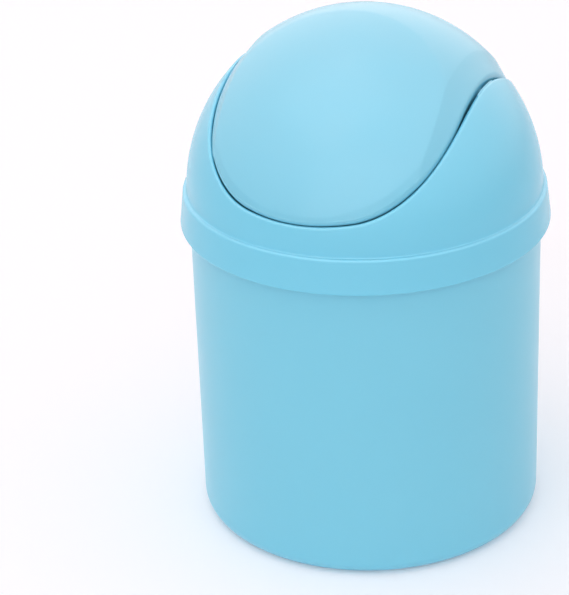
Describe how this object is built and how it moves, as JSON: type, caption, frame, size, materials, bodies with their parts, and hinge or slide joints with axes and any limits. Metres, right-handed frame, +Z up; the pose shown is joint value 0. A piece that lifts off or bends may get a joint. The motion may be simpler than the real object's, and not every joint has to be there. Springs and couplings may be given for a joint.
{
  "type": "desktop trash can",
  "caption": "Small round table-top trash can: straight bucket, lift-off lid with a tapered skirt and dome, and a dome-shaped flap that swings both ways and hangs shut.",
  "frame": {"origin": "centre of the base, on the surface that the can stands on", "axes": "+Z up; -Y towards the flap's front lip; X along the flap's pivot axis"},
  "size_m": [0.1248, 0.1248, 0.1792],
  "materials": {
    "body_plastic": "pale blue satin polypropylene",
    "lid_plastic": "pale blue satin polypropylene",
    "flap_plastic": "pale blue satin polypropylene"
  },
  "bodies": {
    "bucket": {"bin_body": "body_plastic"},
    "lid": {"lid_dome": "lid_plastic"},
    "flap": {"swing_flap": "flap_plastic"}
  },
  "joints": [
    {"name": "lid_lift", "type": "slide", "parent": "bucket", "child": "lid", "axis": [0, 0, 1], "range_m": [0, 0.04]},
    {"name": "flap_swing", "type": "hinge", "parent": "lid", "child": "flap", "pos_m": [0, 0, 0.15552], "axis": [1, 0, 0], "range_deg": [-70, 70]}
  ]
}
